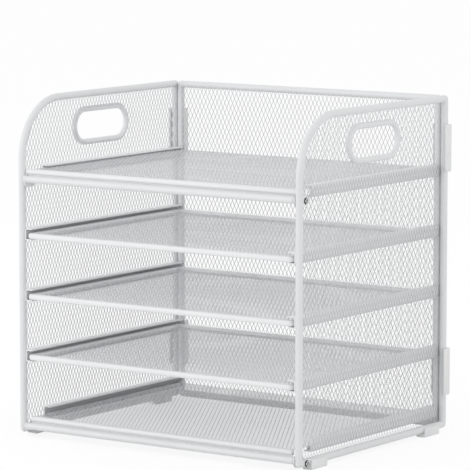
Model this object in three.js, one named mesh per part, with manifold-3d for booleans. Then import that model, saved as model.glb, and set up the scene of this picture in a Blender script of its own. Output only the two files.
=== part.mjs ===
// Five-tier desk file organizer of white powder-coated steel.
// Two side panels and a back panel stand on clip-on feet. A top and a bottom shelf are screwed
// between the side panels, and three trays slide forward in channel guides.
// Millimetres, X to the right, Y to the back, Z up, origin on the desk under the middle.

import * as THREE from 'three';
import { mergeGeometries, mergeVertices } from 'three/addons/utils/BufferGeometryUtils.js';
import Module from 'manifold-3d';

const wasm = await Module();
wasm.setup();

// Overall frame
const FRAME_WIDTH = 330;
const FRAME_DEPTH = 260;
const FRAME_HEIGHT = 331.5;
const TUBE_DIAMETER = 7;
const FOOT_DROP = 3.7;
const FRONT_BEND_RADIUS = 61;
const REAR_BEND_RADIUS = 4.5;
const MIN_BEND_RADIUS = 0.4;

// Clearances
const WELD_GAP = 0.3;
const TRAY_SIDE_CLEARANCE = 1;
const TRAY_REST_CLEARANCE = 0.3;
const TRAY_BACK_CLEARANCE = 4;
const SCREW_HOLE_CLEARANCE = 0.4;
const CLIP_CLEARANCE = 0.3;

// Handle ring in each side panel
const HANDLE_LENGTH = 91;
const HANDLE_HEIGHT = 38.4;
const HANDLE_TUBE_DIAMETER = 5.8;
const HANDLE_CENTRE_BELOW_TOP = 35;
const HANDLE_CENTRE_BEHIND_MIDDLE = -1;

// Mesh panels
const MESH_THICKNESS = 1.3;
const MESH_BORDER = 2;
const MESH_OPENING_WIDTH = 9.5;
const MESH_OPENING_HEIGHT = 19.6;
const STRAND_WIDTH = 1.8;
const STRAND_THICKNESS = 0.45;
const STRAND_INSET = 0.05;

// Mesh floors, drawn as a sheet with a plain grid of openings
const FLOOR_THICKNESS = 0.6;
const FLOOR_EDGE = 6;
const FLOOR_OPENING_PITCH = 32;
const FLOOR_STRAND_WIDTH = 5;

// Channel guides, heights from the desk to the middle of the channel. Those of the fixed shelves
// start behind the shelves' end plates.
const TIER_NAMES = ['lower', 'middle', 'upper'];
const LOWEST_GUIDE_HEIGHT = 79.5;
const GUIDE_PITCH = 59.5;
const GUIDE_SECTION_HEIGHT = 11.6;
const GUIDE_SECTION_WIDTH = 8;
const GUIDE_SHEET = 1.2;
const GUIDE_FRONT_SETBACK = 2.5;
const SHELF_GUIDE_SETBACK = 30;
const TOP_GUIDE_BELOW_FLOOR = 3.3;
const BOTTOM_GUIDE_ABOVE_FLOOR = 0.9;

// Sliding trays
const TRAY_RIM_DIAMETER = 5.8;
const TRAY_CORNER_RADIUS = 6;
const TRAY_FRONT_SETBACK = 1;

// Fixed shelves
const TOP_TUBE_HEIGHT = 252.2;
const BOTTOM_TUBE_HEIGHT = 10;
const LIP_HEIGHT = 5;
const LIP_DEPTH = 5;
const LIP_ROLL_RADIUS = 2;
const LIP_GROOVE = 1.2;
const LIP_WEB_THICKNESS = 1;
const LIP_WEB_SETBACK = 1;
const LIP_FRONT_SETBACK = 3.7;
const BOTTOM_LIP_INSET = 4.7;
const SHELF_SHEET = 0.6;

// Screw plates and screws
const PLATE_THICKNESS = 1.2;
const PLATE_FRONT_SETBACK = 0.5;
const TOP_PLATE_LENGTH = 20;
const TOP_PLATE_HEIGHT = 11.5;
const TOP_PLATE_CORNER = 8;
const BOTTOM_PLATE_LENGTH = 16;
const BOTTOM_PLATE_HEIGHT = 10.5;
const BOTTOM_PLATE_CORNER = 5;
const PLATE_FRONT_CORNER = 6;
const SHEET_CORNER_RADIUS = 0.5;
const TAB_HEIGHT = 10;
const SCREW_HEAD_DIAMETER = 6.4;
const SCREW_HEAD_HEIGHT = 2;
const SCREW_HEAD_RIM = 0.9;
const SCREW_SHOULDER_DIAMETER = 4.6;
const SCREW_SHOULDER_HEIGHT = 1.7;
const SCREW_CROWN_DIAMETER = 2;
const SCREW_SHANK_DIAMETER = 3.4;
const SCREW_REACH = 4;
const SCREW_FROM_POST = 11.5;
const SCREW_BELOW_TUBE = 1.5;
const BOTTOM_SCREW_FROM_POST = 8;
const SLOT_LENGTH = 3.6;
const SLOT_WIDTH = 0.9;
const SLOT_DEPTH = 1.2;

// Feet
const FOOT_LENGTH = 26;
const FOOT_WALL = 1.4;
const FOOT_WRAP_HEIGHT = 9.4;
const FOOT_CORNER_RADIUS = 1.5;
const FOOT_FROM_PLATE = 1;

// Rear clips
const CLIP_HEIGHT = 46;
const LOWER_CLIP_CENTRE = 60;
const UPPER_CLIP_BELOW_TOP = 51.5;
const CLIP_WALL = 1.2;
const CLIP_BACK_WALL = 2.2;
const CLIP_SIDE_REACH = 9;
const CLIP_INNER_REACH = 5;
const CLIP_CHAMFER = 1;

// Facets of round shapes, and what a cut or a joined solid reaches past the faces it meets
const TUBE_SIDES = 12;
const RIM_SIDES = 10;
const SCREW_SIDES = 14;
const SHANK_SIDES = 10;
const BEND_STEPS = 10;
const BORE_STEPS = 8;
const SMALL_BEND_STEPS = 3;
const SMALL_BEND_LIMIT = 20;
const CUT_MARGIN = 1.3;
const JOIN_OVERLAP = 0.2;

// Colours
const POWDER_WHITE = 0xe9e9e9;
const PLASTIC_WHITE = 0xededed;
const SCREW_GREY = 0x6b6b6b;

// Places that follow from the sizes
const tubeRadius = TUBE_DIAMETER / 2;
const sideAxisX = FRAME_WIDTH / 2 - tubeRadius;
const postAxisY = FRAME_DEPTH / 2 - tubeRadius;
const topAxisZ = FRAME_HEIGHT - tubeRadius;
const bottomAxisZ = FOOT_DROP + tubeRadius;
const innerFaceX = sideAxisX - tubeRadius;
const innerFaceY = postAxisY - tubeRadius;
const backFrameX = innerFaceX - WELD_GAP - tubeRadius;
const handleCentreZ = FRAME_HEIGHT - HANDLE_CENTRE_BELOW_TOP;

const powderCoat = () => new THREE.MeshStandardMaterial({
  color: POWDER_WHITE, roughness: 0.45, metalness: 0.05,
});
const plastic = () => new THREE.MeshStandardMaterial({
  color: PLASTIC_WHITE, roughness: 0.5, metalness: 0,
});
const darkSteel = () => new THREE.MeshStandardMaterial({
  color: SCREW_GREY, roughness: 0.35, metalness: 0.9,
});

// Turns a local (u, v, w) geometry into the frame's axes
const SIDE_PLANE = new THREE.Matrix4().makeBasis(
  new THREE.Vector3(0, 1, 0), new THREE.Vector3(0, 0, 1), new THREE.Vector3(1, 0, 0));
const BACK_PLANE = new THREE.Matrix4().makeBasis(
  new THREE.Vector3(1, 0, 0), new THREE.Vector3(0, 0, 1), new THREE.Vector3(0, -1, 0));

const assembly = new THREE.Group();

function addPiece(name, geometry, material, position = [0, 0, 0]) {
  geometry.computeVertexNormals();
  const mesh = new THREE.Mesh(geometry, material);
  mesh.name = name;
  mesh.position.set(...position);
  assembly.add(mesh);
}

// A closed geometry as a solid that can be cut and joined
function solid(geometry) {
  const bare = new THREE.BufferGeometry();
  bare.setAttribute('position', geometry.getAttribute('position'));
  bare.setIndex(geometry.index);
  const merged = mergeVertices(bare, 1e-5);
  return new wasm.Manifold(new wasm.Mesh({
    numProp: 3,
    vertProperties: new Float32Array(merged.getAttribute('position').array),
    triVerts: new Uint32Array(merged.index.array),
  }));
}

function geometryOf(body) {
  const mesh = body.getMesh();
  const geometry = new THREE.BufferGeometry();
  geometry.setAttribute('position', new THREE.BufferAttribute(mesh.vertProperties, 3));
  geometry.setIndex(new THREE.BufferAttribute(mesh.triVerts, 1));
  return geometry;
}

// The other side's copy of a geometry, mirrored in the plane X = 0
function mirrored(geometry) {
  const copy = geometry.clone();
  const position = copy.getAttribute('position');
  for (let i = 0; i < position.count; i += 1) {
    position.setX(i, -position.getX(i));
  }
  const index = copy.index.array;
  for (let i = 0; i < index.length; i += 3) {
    [index[i + 1], index[i + 2]] = [index[i + 2], index[i + 1]];
  }
  return copy;
}

// Adds the right-hand piece and its mirrored left-hand twin
function addPair(name, geometry, material) {
  addPiece(`right_${name}`, geometry, material());
  addPiece(`left_${name}`, mirrored(geometry), material());
}

// Points round a rectangle with a radius at each corner, counter-clockwise from lower left
function roundedOutline(left, bottom, right, top, radii) {
  const corners = [
    { x: left, y: bottom, sx: 1, sy: 1, start: Math.PI },
    { x: right, y: bottom, sx: -1, sy: 1, start: 1.5 * Math.PI },
    { x: right, y: top, sx: -1, sy: -1, start: 0 },
    { x: left, y: top, sx: 1, sy: -1, start: 0.5 * Math.PI },
  ];
  const points = [];
  corners.forEach((corner, i) => {
    const radius = radii[i];
    const steps = radius > SMALL_BEND_LIMIT ? BEND_STEPS : SMALL_BEND_STEPS;
    const centreX = corner.x + corner.sx * radius;
    const centreY = corner.y + corner.sy * radius;
    for (let k = 0; k <= steps; k += 1) {
      const angle = corner.start + (k / steps) * (Math.PI / 2);
      points.push(new THREE.Vector2(
        centreX + radius * Math.cos(angle), centreY + radius * Math.sin(angle)));
    }
  });
  return points;
}

// Points round a slot with half-round ends, counter-clockwise
function slotOutline(centreX, centreY, length, height) {
  const radius = height / 2;
  const reach = length / 2 - radius;
  const points = [];
  for (const side of [1, -1]) {
    for (let k = 0; k <= BEND_STEPS; k += 1) {
      const angle = (k / BEND_STEPS - 0.5) * Math.PI + (side > 0 ? 0 : Math.PI);
      points.push(new THREE.Vector2(
        centreX + side * reach + radius * Math.cos(angle), centreY + radius * Math.sin(angle)));
    }
  }
  return points;
}

// A round bar bent into a closed loop along the points, mitred at sharp corners
function roundLoop(points, diameter, sides = TUBE_SIDES) {
  const count = points.length;
  const vertices = [];
  const indices = [];
  for (let i = 0; i < count; i += 1) {
    const before = points[i].clone().sub(points[(i + count - 1) % count]).normalize();
    const after = points[(i + 1) % count].clone().sub(points[i]).normalize();
    const tangent = before.clone().add(after).normalize();
    const stretch = 1 / tangent.dot(after);
    for (let j = 0; j < sides; j += 1) {
      const angle = (j / sides) * 2 * Math.PI;
      const out = (diameter / 2) * Math.cos(angle) * stretch;
      const up = (diameter / 2) * Math.sin(angle);
      vertices.push(points[i].x + tangent.y * out, points[i].y - tangent.x * out, up);
      const next = (j + 1) % sides;
      const ring = i * sides;
      const nextRing = ((i + 1) % count) * sides;
      indices.push(ring + j, nextRing + j, nextRing + next);
      indices.push(ring + j, nextRing + next, ring + next);
    }
  }
  const geometry = new THREE.BufferGeometry();
  geometry.setAttribute('position', new THREE.Float32BufferAttribute(vertices, 3));
  geometry.setIndex(indices);
  return geometry;
}

function extruded(shape, depth, base = 0) {
  const geometry = new THREE.ExtrudeGeometry(shape, { depth, bevelEnabled: false, steps: 1 });
  return geometry.translate(0, 0, base);
}

// A solid over a flat outline that reaches past both faces of a sheet lying from w = 0
function cutterOver(shape, sheetThickness) {
  return solid(extruded(shape, sheetThickness + 2 * CUT_MARGIN, -CUT_MARGIN));
}

// A round bar along X
function barAlongX(diameter, fromX, toX, y, z, sides = TUBE_SIDES) {
  const bar = new THREE.CylinderGeometry(diameter / 2, diameter / 2, toX - fromX, sides);
  return bar.rotateZ(Math.PI / 2).translate((fromX + toX) / 2, y, z);
}

function boxBetween(from, to) {
  const size = to.map((value, i) => value - from[i]);
  const centre = to.map((value, i) => (value + from[i]) / 2);
  return new THREE.BoxGeometry(...size).translate(...centre);
}

// How far a sheet's edge lies from a tube's axis line when the sheet passes the tube's flank
function flankReach(radius, sheetFromAxis) {
  return Math.sqrt(radius ** 2 - sheetFromAxis ** 2) + WELD_GAP;
}

// A mesh panel lying flat from w = 0. outlineAt(inset) is its outline moved in by the inset.
// The strands of the two directions lie in two layers and end in the border.
function meshPanel(outlineAt) {
  const whole = solid(extruded(outlineAt(0), MESH_THICKNESS));
  let panel = whole.subtract(cutterOver(outlineAt(MESH_BORDER), MESH_THICKNESS));
  const field = outlineAt(MESH_BORDER / 2);
  const points = field.getPoints();
  const box = new THREE.Box2().setFromPoints(points);
  const size = box.getSize(new THREE.Vector2());
  const centre = box.getCenter(new THREE.Vector2());
  const lean = Math.atan(MESH_OPENING_WIDTH / MESH_OPENING_HEIGHT);
  const reach = size.x / 2 + (size.y / 2) * Math.tan(lean);
  const halfCount = Math.floor(reach / MESH_OPENING_WIDTH);
  const length = size.y / Math.cos(lean) + size.x;
  for (const side of [1, -1]) {
    const strands = [];
    for (let k = -halfCount; k <= halfCount; k += 1) {
      const strand = new THREE.BoxGeometry(STRAND_WIDTH, length, STRAND_THICKNESS);
      strand.rotateZ(side * lean);
      strands.push(strand.translate(centre.x + k * MESH_OPENING_WIDTH, centre.y, 0));
    }
    const layer = side * (MESH_THICKNESS / 2 - STRAND_INSET - STRAND_THICKNESS / 2);
    const sheet = mergeGeometries(strands).translate(0, 0, MESH_THICKNESS / 2 + layer);
    panel = panel.add(solid(sheet).intersect(cutterOver(field, MESH_THICKNESS)));
  }
  return panel;
}

function shapeOf(points, holes = []) {
  const shape = new THREE.Shape(points);
  holes.forEach((hole) => shape.holes.push(new THREE.Path(hole)));
  return shape;
}

// Where a row of openings starts and ends between two edges of a floor, as pairs
function openingSpans(from, to) {
  const room = to - from - 2 * FLOOR_EDGE + FLOOR_STRAND_WIDTH;
  const count = Math.round(room / FLOOR_OPENING_PITCH);
  const pitch = room / count;
  return Array.from({ length: count }, (_, i) => {
    const start = from + FLOOR_EDGE + i * pitch;
    return [start, start + pitch - FLOOR_STRAND_WIDTH];
  });
}

// A mesh floor lying flat from w = 0 inside an outline, its openings between the given edges
function meshFloor(outline, [left, front, right, rear], thickness) {
  const openings = openingSpans(left, right).flatMap(([from, to]) => (
    openingSpans(front, rear).map(([near, far]) => boxBetween(
      [from, near, -CUT_MARGIN], [to, far, thickness + CUT_MARGIN]))));
  return solid(extruded(shapeOf(outline), thickness)).subtract(solid(mergeGeometries(openings)));
}

// Side panels
function sideLoopOutline(inset) {
  const front = -postAxisY + inset;
  const rear = postAxisY - inset;
  const bottom = bottomAxisZ + inset;
  const top = topAxisZ - inset;
  const rearRadius = Math.max(REAR_BEND_RADIUS - tubeRadius - inset, MIN_BEND_RADIUS);
  const frontRadius = FRONT_BEND_RADIUS - tubeRadius - inset;
  return roundedOutline(front, bottom, rear, top, [rearRadius, rearRadius, rearRadius, frontRadius]);
}

function handleOutline(grow) {
  return slotOutline(
    HANDLE_CENTRE_BEHIND_MIDDLE, handleCentreZ,
    HANDLE_LENGTH - HANDLE_TUBE_DIAMETER + 2 * grow,
    HANDLE_HEIGHT - HANDLE_TUBE_DIAMETER + 2 * grow);
}

const screwHoleDiameter = SCREW_SHANK_DIAMETER + 2 * SCREW_HOLE_CLEARANCE;
const upperScrew = { y: -postAxisY + SCREW_FROM_POST, z: TOP_TUBE_HEIGHT - SCREW_BELOW_TUBE };
const lowerScrew = { y: -postAxisY + BOTTOM_SCREW_FROM_POST, z: bottomAxisZ };
const meshOuterX = innerFaceX + MESH_THICKNESS;
const tabOuterX = meshOuterX + WELD_GAP + PLATE_THICKNESS;

function screwHole(screw) {
  return solid(barAlongX(screwHoleDiameter, 0, FRAME_WIDTH, screw.y, screw.z));
}

function addSidePanels() {
  const loop = roundLoop(sideLoopOutline(0), TUBE_DIAMETER).applyMatrix4(SIDE_PLANE);
  loop.translate(sideAxisX, 0, 0);
  addPair('side_frame', geometryOf(solid(loop).subtract(screwHole(lowerScrew))), powderCoat);

  const ring = roundLoop(handleOutline(0), HANDLE_TUBE_DIAMETER, RIM_SIDES);
  ring.applyMatrix4(SIDE_PLANE);
  addPair('handle_ring', ring.translate(sideAxisX, 0, 0), powderCoat);

  const meshFromAxis = sideAxisX - meshOuterX;
  const frameReach = flankReach(tubeRadius, meshFromAxis);
  const ringReach = flankReach(HANDLE_TUBE_DIAMETER / 2, meshFromAxis);
  const outlineAt = (inset) => shapeOf(
    sideLoopOutline(frameReach + inset), [handleOutline(ringReach + inset)]);
  const mesh = geometryOf(meshPanel(outlineAt)).applyMatrix4(SIDE_PLANE);
  mesh.translate(innerFaceX, 0, 0);
  addPair('side_mesh', geometryOf(solid(mesh).subtract(screwHole(upperScrew))), powderCoat);
}

// Round-ended tab on each front post that carries the upper screw, its front cut to the tube
function addScrewTabs() {
  const tubeReach = flankReach(tubeRadius, sideAxisX - tabOuterX);
  const radius = TAB_HEIGHT / 2;
  const outline = roundedOutline(
    -postAxisY, upperScrew.z - radius, upperScrew.y + radius, upperScrew.z + radius,
    [MIN_BEND_RADIUS, radius, radius, MIN_BEND_RADIUS]);
  const whole = solid(extruded(shapeOf(outline), PLATE_THICKNESS));
  const tab = whole.intersect(cutterOver(shapeOf(sideLoopOutline(tubeReach)), PLATE_THICKNESS));
  const placed = geometryOf(tab).applyMatrix4(SIDE_PLANE);
  placed.translate(meshOuterX + WELD_GAP, 0, 0);
  addPair('screw_tab', geometryOf(solid(placed).subtract(screwHole(upperScrew))), powderCoat);
}

// Back panel between the rear posts
function backLoopOutline(inset) {
  const half = backFrameX - inset;
  const radius = Math.max(REAR_BEND_RADIUS - tubeRadius - inset, MIN_BEND_RADIUS);
  return roundedOutline(
    -half, bottomAxisZ + inset, half, topAxisZ - inset, [radius, radius, radius, radius]);
}

function addBackPanel() {
  const loop = roundLoop(backLoopOutline(0), TUBE_DIAMETER).applyMatrix4(BACK_PLANE);
  addPiece('back_frame', loop.translate(0, postAxisY, 0), powderCoat());
  const reach = flankReach(tubeRadius, tubeRadius - MESH_THICKNESS);
  const mesh = meshPanel((inset) => shapeOf(backLoopOutline(reach + inset)));
  const geometry = geometryOf(mesh).applyMatrix4(BACK_PLANE);
  addPiece('back_mesh', geometry.translate(0, innerFaceY + MESH_THICKNESS, 0), powderCoat());
}

// Channel guides, open inward, on the inner side of the side panels
const guideOuterX = innerFaceX - WELD_GAP;
const guideRear = innerFaceY - WELD_GAP;
const guideFront = -FRAME_DEPTH / 2 + GUIDE_FRONT_SETBACK;

function guideHeight(tier) {
  return LOWEST_GUIDE_HEIGHT + tier * GUIDE_PITCH;
}

function addGuide(name, height, front) {
  const inner = guideOuterX - GUIDE_SECTION_WIDTH;
  const bottom = height - GUIDE_SECTION_HEIGHT / 2;
  const top = bottom + GUIDE_SECTION_HEIGHT;
  const section = shapeOf([
    [inner, bottom], [guideOuterX, bottom], [guideOuterX, top], [inner, top],
    [inner, top - GUIDE_SHEET], [guideOuterX - GUIDE_SHEET, top - GUIDE_SHEET],
    [guideOuterX - GUIDE_SHEET, bottom + GUIDE_SHEET], [inner, bottom + GUIDE_SHEET],
  ].map(([x, z]) => new THREE.Vector2(x, z)));
  const channel = extruded(section, guideRear - front).applyMatrix4(BACK_PLANE);
  channel.translate(0, guideRear, 0);
  addPair(`guide_${name}`, geometryOf(solid(channel)), powderCoat);
}

function addTrayGuides() {
  TIER_NAMES.forEach((name, tier) => addGuide(name, guideHeight(tier), guideFront));
}

// Sliding trays: a rolled rim round a mesh floor
function addTrays() {
  const radius = TRAY_RIM_DIAMETER / 2;
  const half = guideOuterX - GUIDE_SHEET - TRAY_SIDE_CLEARANCE - radius;
  const front = -FRAME_DEPTH / 2 + TRAY_FRONT_SETBACK + radius;
  const rear = innerFaceY - TRAY_BACK_CLEARANCE - radius;
  const bend = TRAY_CORNER_RADIUS - radius;
  const floorEdge = flankReach(radius, FLOOR_THICKNESS / 2);
  const outlineAt = (inset) => roundedOutline(
    -half + inset, front + inset, half - inset, rear - inset,
    Array(4).fill(Math.max(bend - inset, MIN_BEND_RADIUS)));
  TIER_NAMES.forEach((name, tier) => {
    const channelFloor = guideHeight(tier) - GUIDE_SECTION_HEIGHT / 2 + GUIDE_SHEET;
    const rimHeight = channelFloor + TRAY_REST_CLEARANCE + radius;
    const rim = roundLoop(outlineAt(0), TRAY_RIM_DIAMETER, RIM_SIDES);
    addPiece(`tray_${name}_rim`, rim, powderCoat(), [0, 0, rimHeight]);
    const floor = meshFloor(outlineAt(floorEdge), [-half, front, half, rear], FLOOR_THICKNESS);
    const floorBottom = rimHeight - FLOOR_THICKNESS / 2;
    addPiece(`tray_${name}_mesh`, geometryOf(floor), powderCoat(), [0, 0, floorBottom]);
  });
}

// Fixed shelves: a front cross tube with an end plate at each end, a rolled lip, and a mesh pan
// whose turned-down sides stand in channels like the trays'
const plateOuterX = guideOuterX;
const plateInnerX = plateOuterX - PLATE_THICKNESS;
const plateFront = -FRAME_DEPTH / 2 + PLATE_FRONT_SETBACK;
const topPlate = {
  length: TOP_PLATE_LENGTH, height: TOP_PLATE_HEIGHT, corner: TOP_PLATE_CORNER, screw: upperScrew,
};
const bottomPlate = {
  length: BOTTOM_PLATE_LENGTH, height: BOTTOM_PLATE_HEIGHT, corner: BOTTOM_PLATE_CORNER,
  screw: lowerScrew,
};

function addCrossTube(name, height, plate) {
  const end = plateInnerX - WELD_GAP;
  const tube = barAlongX(TUBE_DIAMETER, -end, end, -postAxisY, height);
  addPiece(`${name}_front_tube`, tube, powderCoat());
  const top = height + tubeRadius;
  const outline = roundedOutline(
    plateFront, top - plate.height, plateFront + plate.length, top,
    [PLATE_FRONT_CORNER, plate.corner, SHEET_CORNER_RADIUS, SHEET_CORNER_RADIUS]);
  const blank = extruded(shapeOf(outline), PLATE_THICKNESS).applyMatrix4(SIDE_PLANE);
  blank.translate(plateInnerX, 0, 0);
  const drilled = solid(blank).subtract(screwHole(plate.screw));
  addPair(`${name}_end_plate`, geometryOf(drilled), powderCoat);
}

// The rolled lip and the web that runs down from it to the cross tube
function addLip(name, tubeHeight, half) {
  const tubeTop = tubeHeight + tubeRadius;
  const bottom = tubeTop + LIP_GROOVE;
  const front = -FRAME_DEPTH / 2 + LIP_FRONT_SETBACK;
  const outline = roundedOutline(
    front, bottom, front + LIP_DEPTH, bottom + LIP_HEIGHT, Array(4).fill(LIP_ROLL_RADIUS));
  const roll = extruded(shapeOf(outline), 2 * half).applyMatrix4(SIDE_PLANE);
  const webFront = front + LIP_WEB_SETBACK;
  const web = boxBetween(
    [0, webFront, tubeTop + WELD_GAP],
    [2 * half, webFront + LIP_WEB_THICKNESS, bottom + LIP_HEIGHT / 2]);
  const lip = geometryOf(solid(roll).add(solid(web)));
  addPiece(`${name}_lip`, lip.translate(-half, 0, 0), powderCoat());
}

const panFront = -FRAME_DEPTH / 2 + LIP_FRONT_SETBACK + LIP_DEPTH + WELD_GAP;
const panRear = innerFaceY - WELD_GAP;
const shelfGuideFront = -FRAME_DEPTH / 2 + SHELF_GUIDE_SETBACK;

function addPan(name, half, floorTop, channelHeight) {
  const floorBottom = floorTop - SHELF_SHEET;
  const channelFloor = channelHeight - GUIDE_SECTION_HEIGHT / 2 + GUIDE_SHEET;
  const edges = [-half, panFront, half, panRear];
  const outline = roundedOutline(...edges, Array(4).fill(MIN_BEND_RADIUS));
  let pan = meshFloor(outline, edges, SHELF_SHEET).translate([0, 0, floorBottom]);
  for (const side of [1, -1]) {
    const faces = [side * half, side * (half - SHELF_SHEET)];
    pan = pan.add(solid(boxBetween(
      [Math.min(...faces), shelfGuideFront, channelFloor + TRAY_REST_CLEARANCE],
      [Math.max(...faces), panRear - MIN_BEND_RADIUS, floorTop])));
  }
  addPiece(`${name}_mesh`, geometryOf(pan), powderCoat());
}

const floorAboveTube = tubeRadius + LIP_GROOVE + LIP_HEIGHT - SHELF_SHEET;

function addTopShelf() {
  const floorTop = TOP_TUBE_HEIGHT + floorAboveTube;
  const channelHeight = floorTop - TOP_GUIDE_BELOW_FLOOR;
  addCrossTube('top_shelf', TOP_TUBE_HEIGHT, topPlate);
  addLip('top_shelf', TOP_TUBE_HEIGHT, guideOuterX);
  addGuide('top', channelHeight, shelfGuideFront);
  addPan('top_shelf', guideOuterX - GUIDE_SHEET - WELD_GAP, floorTop, channelHeight);
}

function addBottomShelf() {
  const half = guideOuterX - BOTTOM_LIP_INSET;
  const floorTop = BOTTOM_TUBE_HEIGHT + floorAboveTube;
  const channelHeight = floorTop + BOTTOM_GUIDE_ABOVE_FLOOR;
  addCrossTube('bottom_shelf', BOTTOM_TUBE_HEIGHT, bottomPlate);
  addLip('bottom_shelf', BOTTOM_TUBE_HEIGHT, half);
  addGuide('bottom', channelHeight, shelfGuideFront);
  addPan('bottom_shelf', half, floorTop, channelHeight);
}

// A cross-slot pan-head screw along X, its head's underside at headX
function screwSolid(headX, screw) {
  const tip = plateInnerX - SCREW_REACH;
  const shank = solid(barAlongX(
    SCREW_SHANK_DIAMETER, tip, headX + JOIN_OVERLAP, screw.y, screw.z, SHANK_SIDES));
  const profile = [
    new THREE.Vector2(0, 0),
    new THREE.Vector2(SCREW_HEAD_DIAMETER / 2, 0),
    new THREE.Vector2(SCREW_HEAD_DIAMETER / 2, SCREW_HEAD_RIM),
    new THREE.Vector2(SCREW_SHOULDER_DIAMETER / 2, SCREW_SHOULDER_HEIGHT),
    new THREE.Vector2(SCREW_CROWN_DIAMETER / 2, SCREW_HEAD_HEIGHT),
    new THREE.Vector2(0, SCREW_HEAD_HEIGHT),
  ];
  const head = new THREE.LatheGeometry(profile, SCREW_SIDES).rotateZ(-Math.PI / 2);
  head.translate(headX, screw.y, screw.z);
  let body = solid(head).add(shank);
  const slotX = headX + SCREW_HEAD_HEIGHT - SLOT_DEPTH;
  for (const turned of [0, Math.PI / 2]) {
    const slot = new THREE.BoxGeometry(2 * SLOT_DEPTH, SLOT_LENGTH, SLOT_WIDTH);
    slot.rotateX(turned + Math.PI / 4).translate(slotX + SLOT_DEPTH, screw.y, screw.z);
    body = body.subtract(solid(slot));
  }
  return body;
}

function addScrews() {
  const upper = screwSolid(tabOuterX + WELD_GAP, upperScrew);
  const lower = screwSolid(FRAME_WIDTH / 2 + WELD_GAP, lowerScrew);
  addPair('screw_upper', geometryOf(upper), darkSteel);
  addPair('screw_lower', geometryOf(lower), darkSteel);
}

// Clip-on feet round the side panels' bottom tubes
function addFeet() {
  const bore = tubeRadius + CLIP_CLEARANCE;
  const half = bore + FOOT_WALL;
  const outline = [];
  const corner = (centreX, centreZ, start) => {
    for (let k = 0; k <= SMALL_BEND_STEPS; k += 1) {
      const angle = start + (k / SMALL_BEND_STEPS) * (Math.PI / 2);
      outline.push(new THREE.Vector2(
        centreX + FOOT_CORNER_RADIUS * Math.cos(angle),
        centreZ + FOOT_CORNER_RADIUS * Math.sin(angle)));
    }
  };
  corner(-half + FOOT_CORNER_RADIUS, FOOT_CORNER_RADIUS, Math.PI);
  corner(half - FOOT_CORNER_RADIUS, FOOT_CORNER_RADIUS, 1.5 * Math.PI);
  outline.push(new THREE.Vector2(half, FOOT_WRAP_HEIGHT));
  outline.push(new THREE.Vector2(bore, FOOT_WRAP_HEIGHT));
  for (let k = 0; k <= BORE_STEPS; k += 1) {
    const angle = -(k / BORE_STEPS) * Math.PI;
    outline.push(new THREE.Vector2(
      bore * Math.cos(angle), bottomAxisZ + bore * Math.sin(angle)));
  }
  outline.push(new THREE.Vector2(-bore, FOOT_WRAP_HEIGHT));
  outline.push(new THREE.Vector2(-half, FOOT_WRAP_HEIGHT));
  const foot = extruded(shapeOf(outline), FOOT_LENGTH).applyMatrix4(BACK_PLANE);
  foot.translate(sideAxisX, FOOT_LENGTH / 2, 0);
  const plateRear = plateFront + BOTTOM_PLATE_LENGTH;
  const fromMiddle = -plateRear - FOOT_FROM_PLATE - FOOT_LENGTH / 2;
  for (const [name, side] of [['front', -1], ['rear', 1]]) {
    const placed = geometryOf(solid(foot.clone().translate(0, side * fromMiddle, 0)));
    addPair(`foot_${name}`, placed, plastic);
  }
}

// Clips that hold the back panel's uprights to the rear posts, pushed on from behind
function addRearClips() {
  const back = FRAME_DEPTH / 2 + CLIP_CLEARANCE;
  const outer = FRAME_WIDTH / 2 + CLIP_CLEARANCE;
  const inner = backFrameX - tubeRadius - CLIP_CLEARANCE;
  const outside = outer + CLIP_WALL;
  const inside = inner - CLIP_WALL;
  const rear = back + CLIP_BACK_WALL;
  const section = shapeOf([
    [outer, back - CLIP_SIDE_REACH], [outside, back - CLIP_SIDE_REACH],
    [outside, rear - CLIP_CHAMFER], [outside - CLIP_CHAMFER, rear],
    [inside + CLIP_CHAMFER, rear], [inside, rear - CLIP_CHAMFER],
    [inside, back - CLIP_INNER_REACH], [inner, back - CLIP_INNER_REACH],
    [inner, back], [outer, back],
  ].map(([x, y]) => new THREE.Vector2(x, y)));
  const centres = { upper: FRAME_HEIGHT - UPPER_CLIP_BELOW_TOP, lower: LOWER_CLIP_CENTRE };
  for (const [name, centre] of Object.entries(centres)) {
    const clip = extruded(section, CLIP_HEIGHT, centre - CLIP_HEIGHT / 2);
    addPair(`rear_clip_${name}`, geometryOf(solid(clip)), plastic);
  }
}

addSidePanels();
addScrewTabs();
addBackPanel();
addTrayGuides();
addTrays();
addTopShelf();
addBottomShelf();
addScrews();
addFeet();
addRearClips();

// The clips reach past the rear posts, so the frame sits forward of the middle by half of that
assembly.position.y = -(CLIP_CLEARANCE + CLIP_BACK_WALL) / 2;
const organizer = new THREE.Group();
organizer.add(assembly);

export default organizer;
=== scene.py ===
"""Looks of the desk file organizer: bent tube, expanded steel mesh, formed sheet, plastic clips
and screws.

Sizes are in millimetres, measured from the desk under the middle of the frame, X to the right,
Y to the back and Z up. finished() moves each piece into the model's own frame, in metres.
"""
import math

import bmesh
import bpy
from mathutils import Matrix, Vector


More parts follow.
